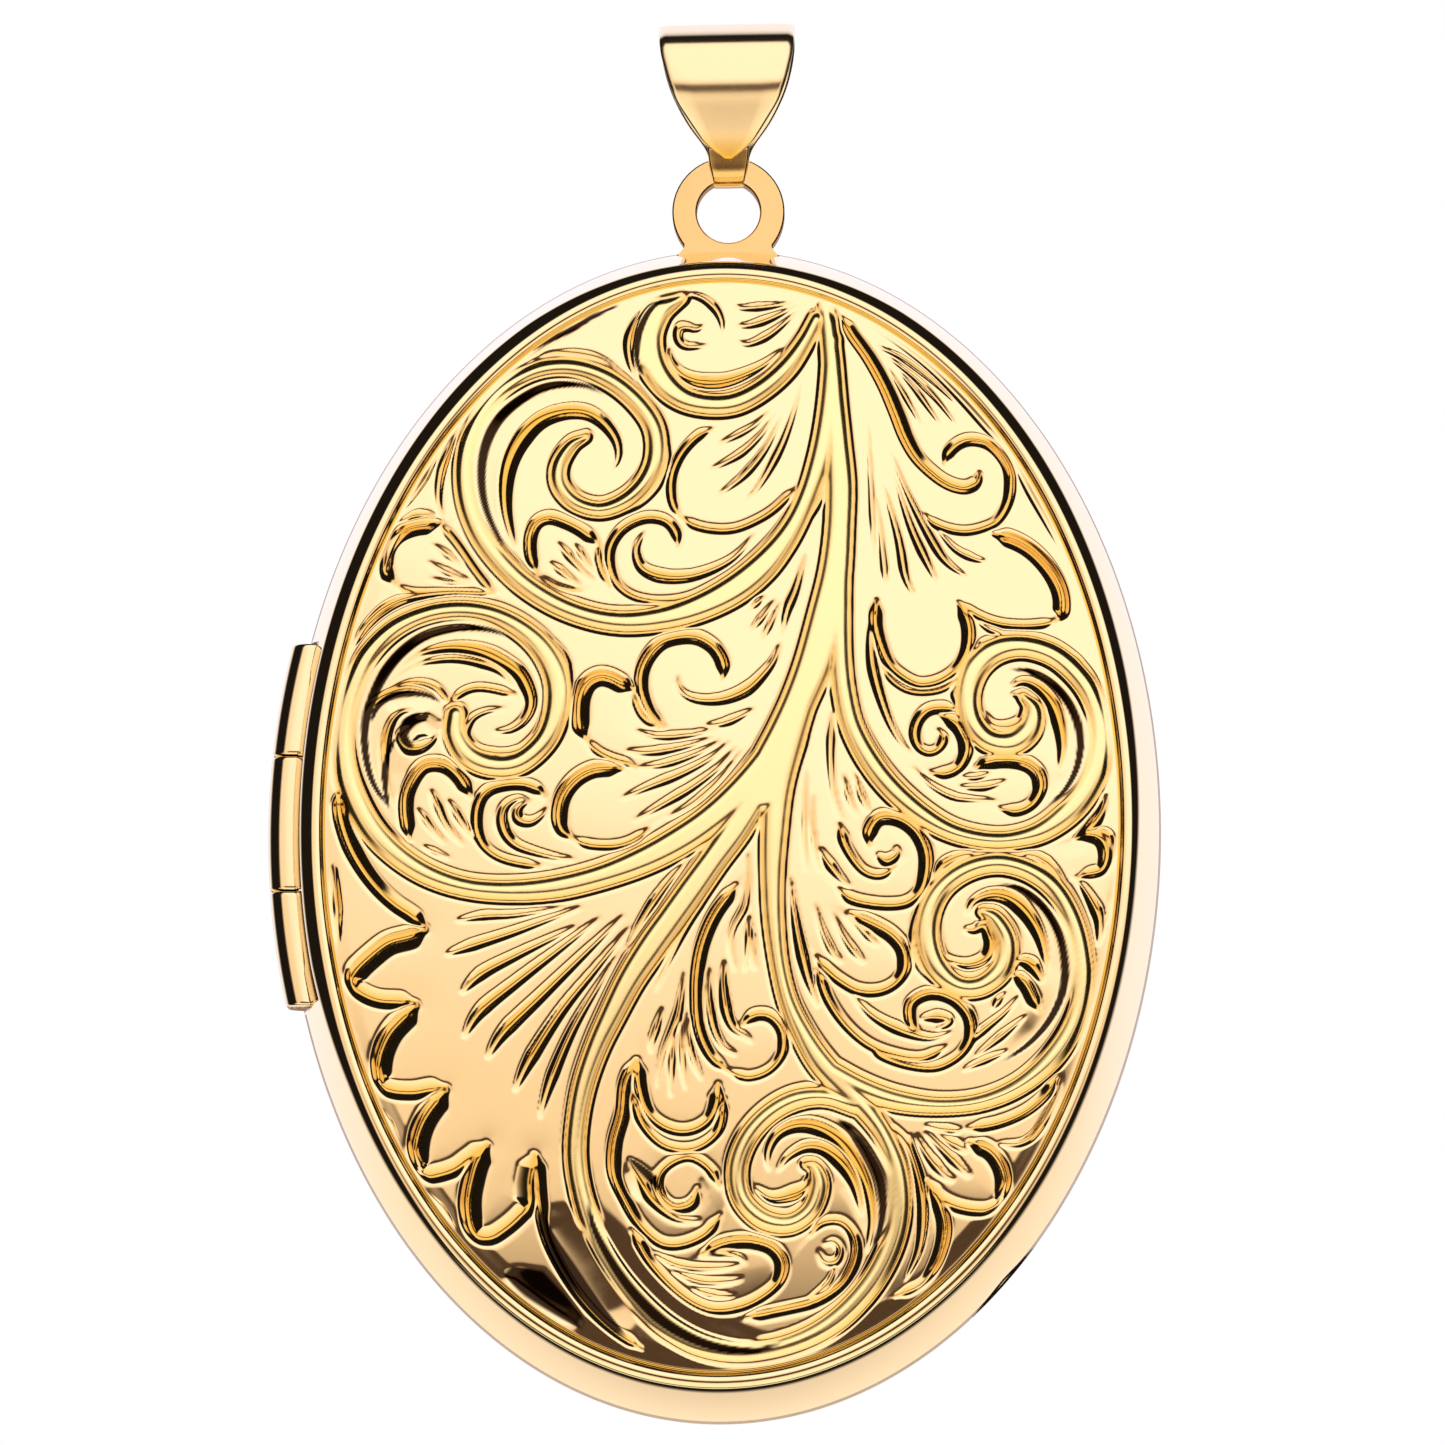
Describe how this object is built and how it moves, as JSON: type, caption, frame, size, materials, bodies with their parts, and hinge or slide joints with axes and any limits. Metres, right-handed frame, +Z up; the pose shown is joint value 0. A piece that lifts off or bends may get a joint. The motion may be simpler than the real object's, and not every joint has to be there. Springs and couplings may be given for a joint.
{
  "type": "locket",
  "caption": "Oval hinged gold locket with a scroll-decorated front, a ring lug and a tapered folded bail.",
  "frame": {"origin": "centre of the bail's round top, where a chain passes through; the locket hangs straight down below it", "axes": "+Z up; the decorated front faces -Y and the plain back +Y; +X along the chain's passage, away from the hinge side, so the hinge is on the left seen from the front"},
  "size_m": [0.0306, 0.0061, 0.0487],
  "materials": {
    "gold": "polished",
    "picture_card": "matte",
    "window_film": "gloss"
  },
  "bodies": {
    "bail": {"bail": "gold"},
    "case_back": {"back_cover": "gold", "back_inner_rim": "gold", "closing_lip": "gold", "snap_bead": "gold", "back_picture_card": "picture_card", "back_window": "window_film", "back_photo_frame": "gold", "hinge_knuckle_top": "gold", "hinge_knuckle_bottom": "gold", "hinge_pin": "gold", "lug": "gold"},
    "case_front": {"front_cover": "gold", "front_inner_rim": "gold", "front_picture_card": "picture_card", "front_window": "window_film", "front_photo_frame": "gold", "hinge_knuckle_middle": "gold"}
  },
  "joints": [
    {"name": "bail_swing", "type": "hinge", "parent": "bail", "child": "case_back", "pos_m": [0, 0, -0.0036], "axis": [1, 0, 0], "range_deg": [-90, 90]},
    {"name": "lid_hinge", "type": "hinge", "parent": "case_back", "child": "case_front", "pos_m": [-0.01452, 0, -0.0267], "axis": [0, 0, -1], "range_deg": [0, 150]}
  ]
}
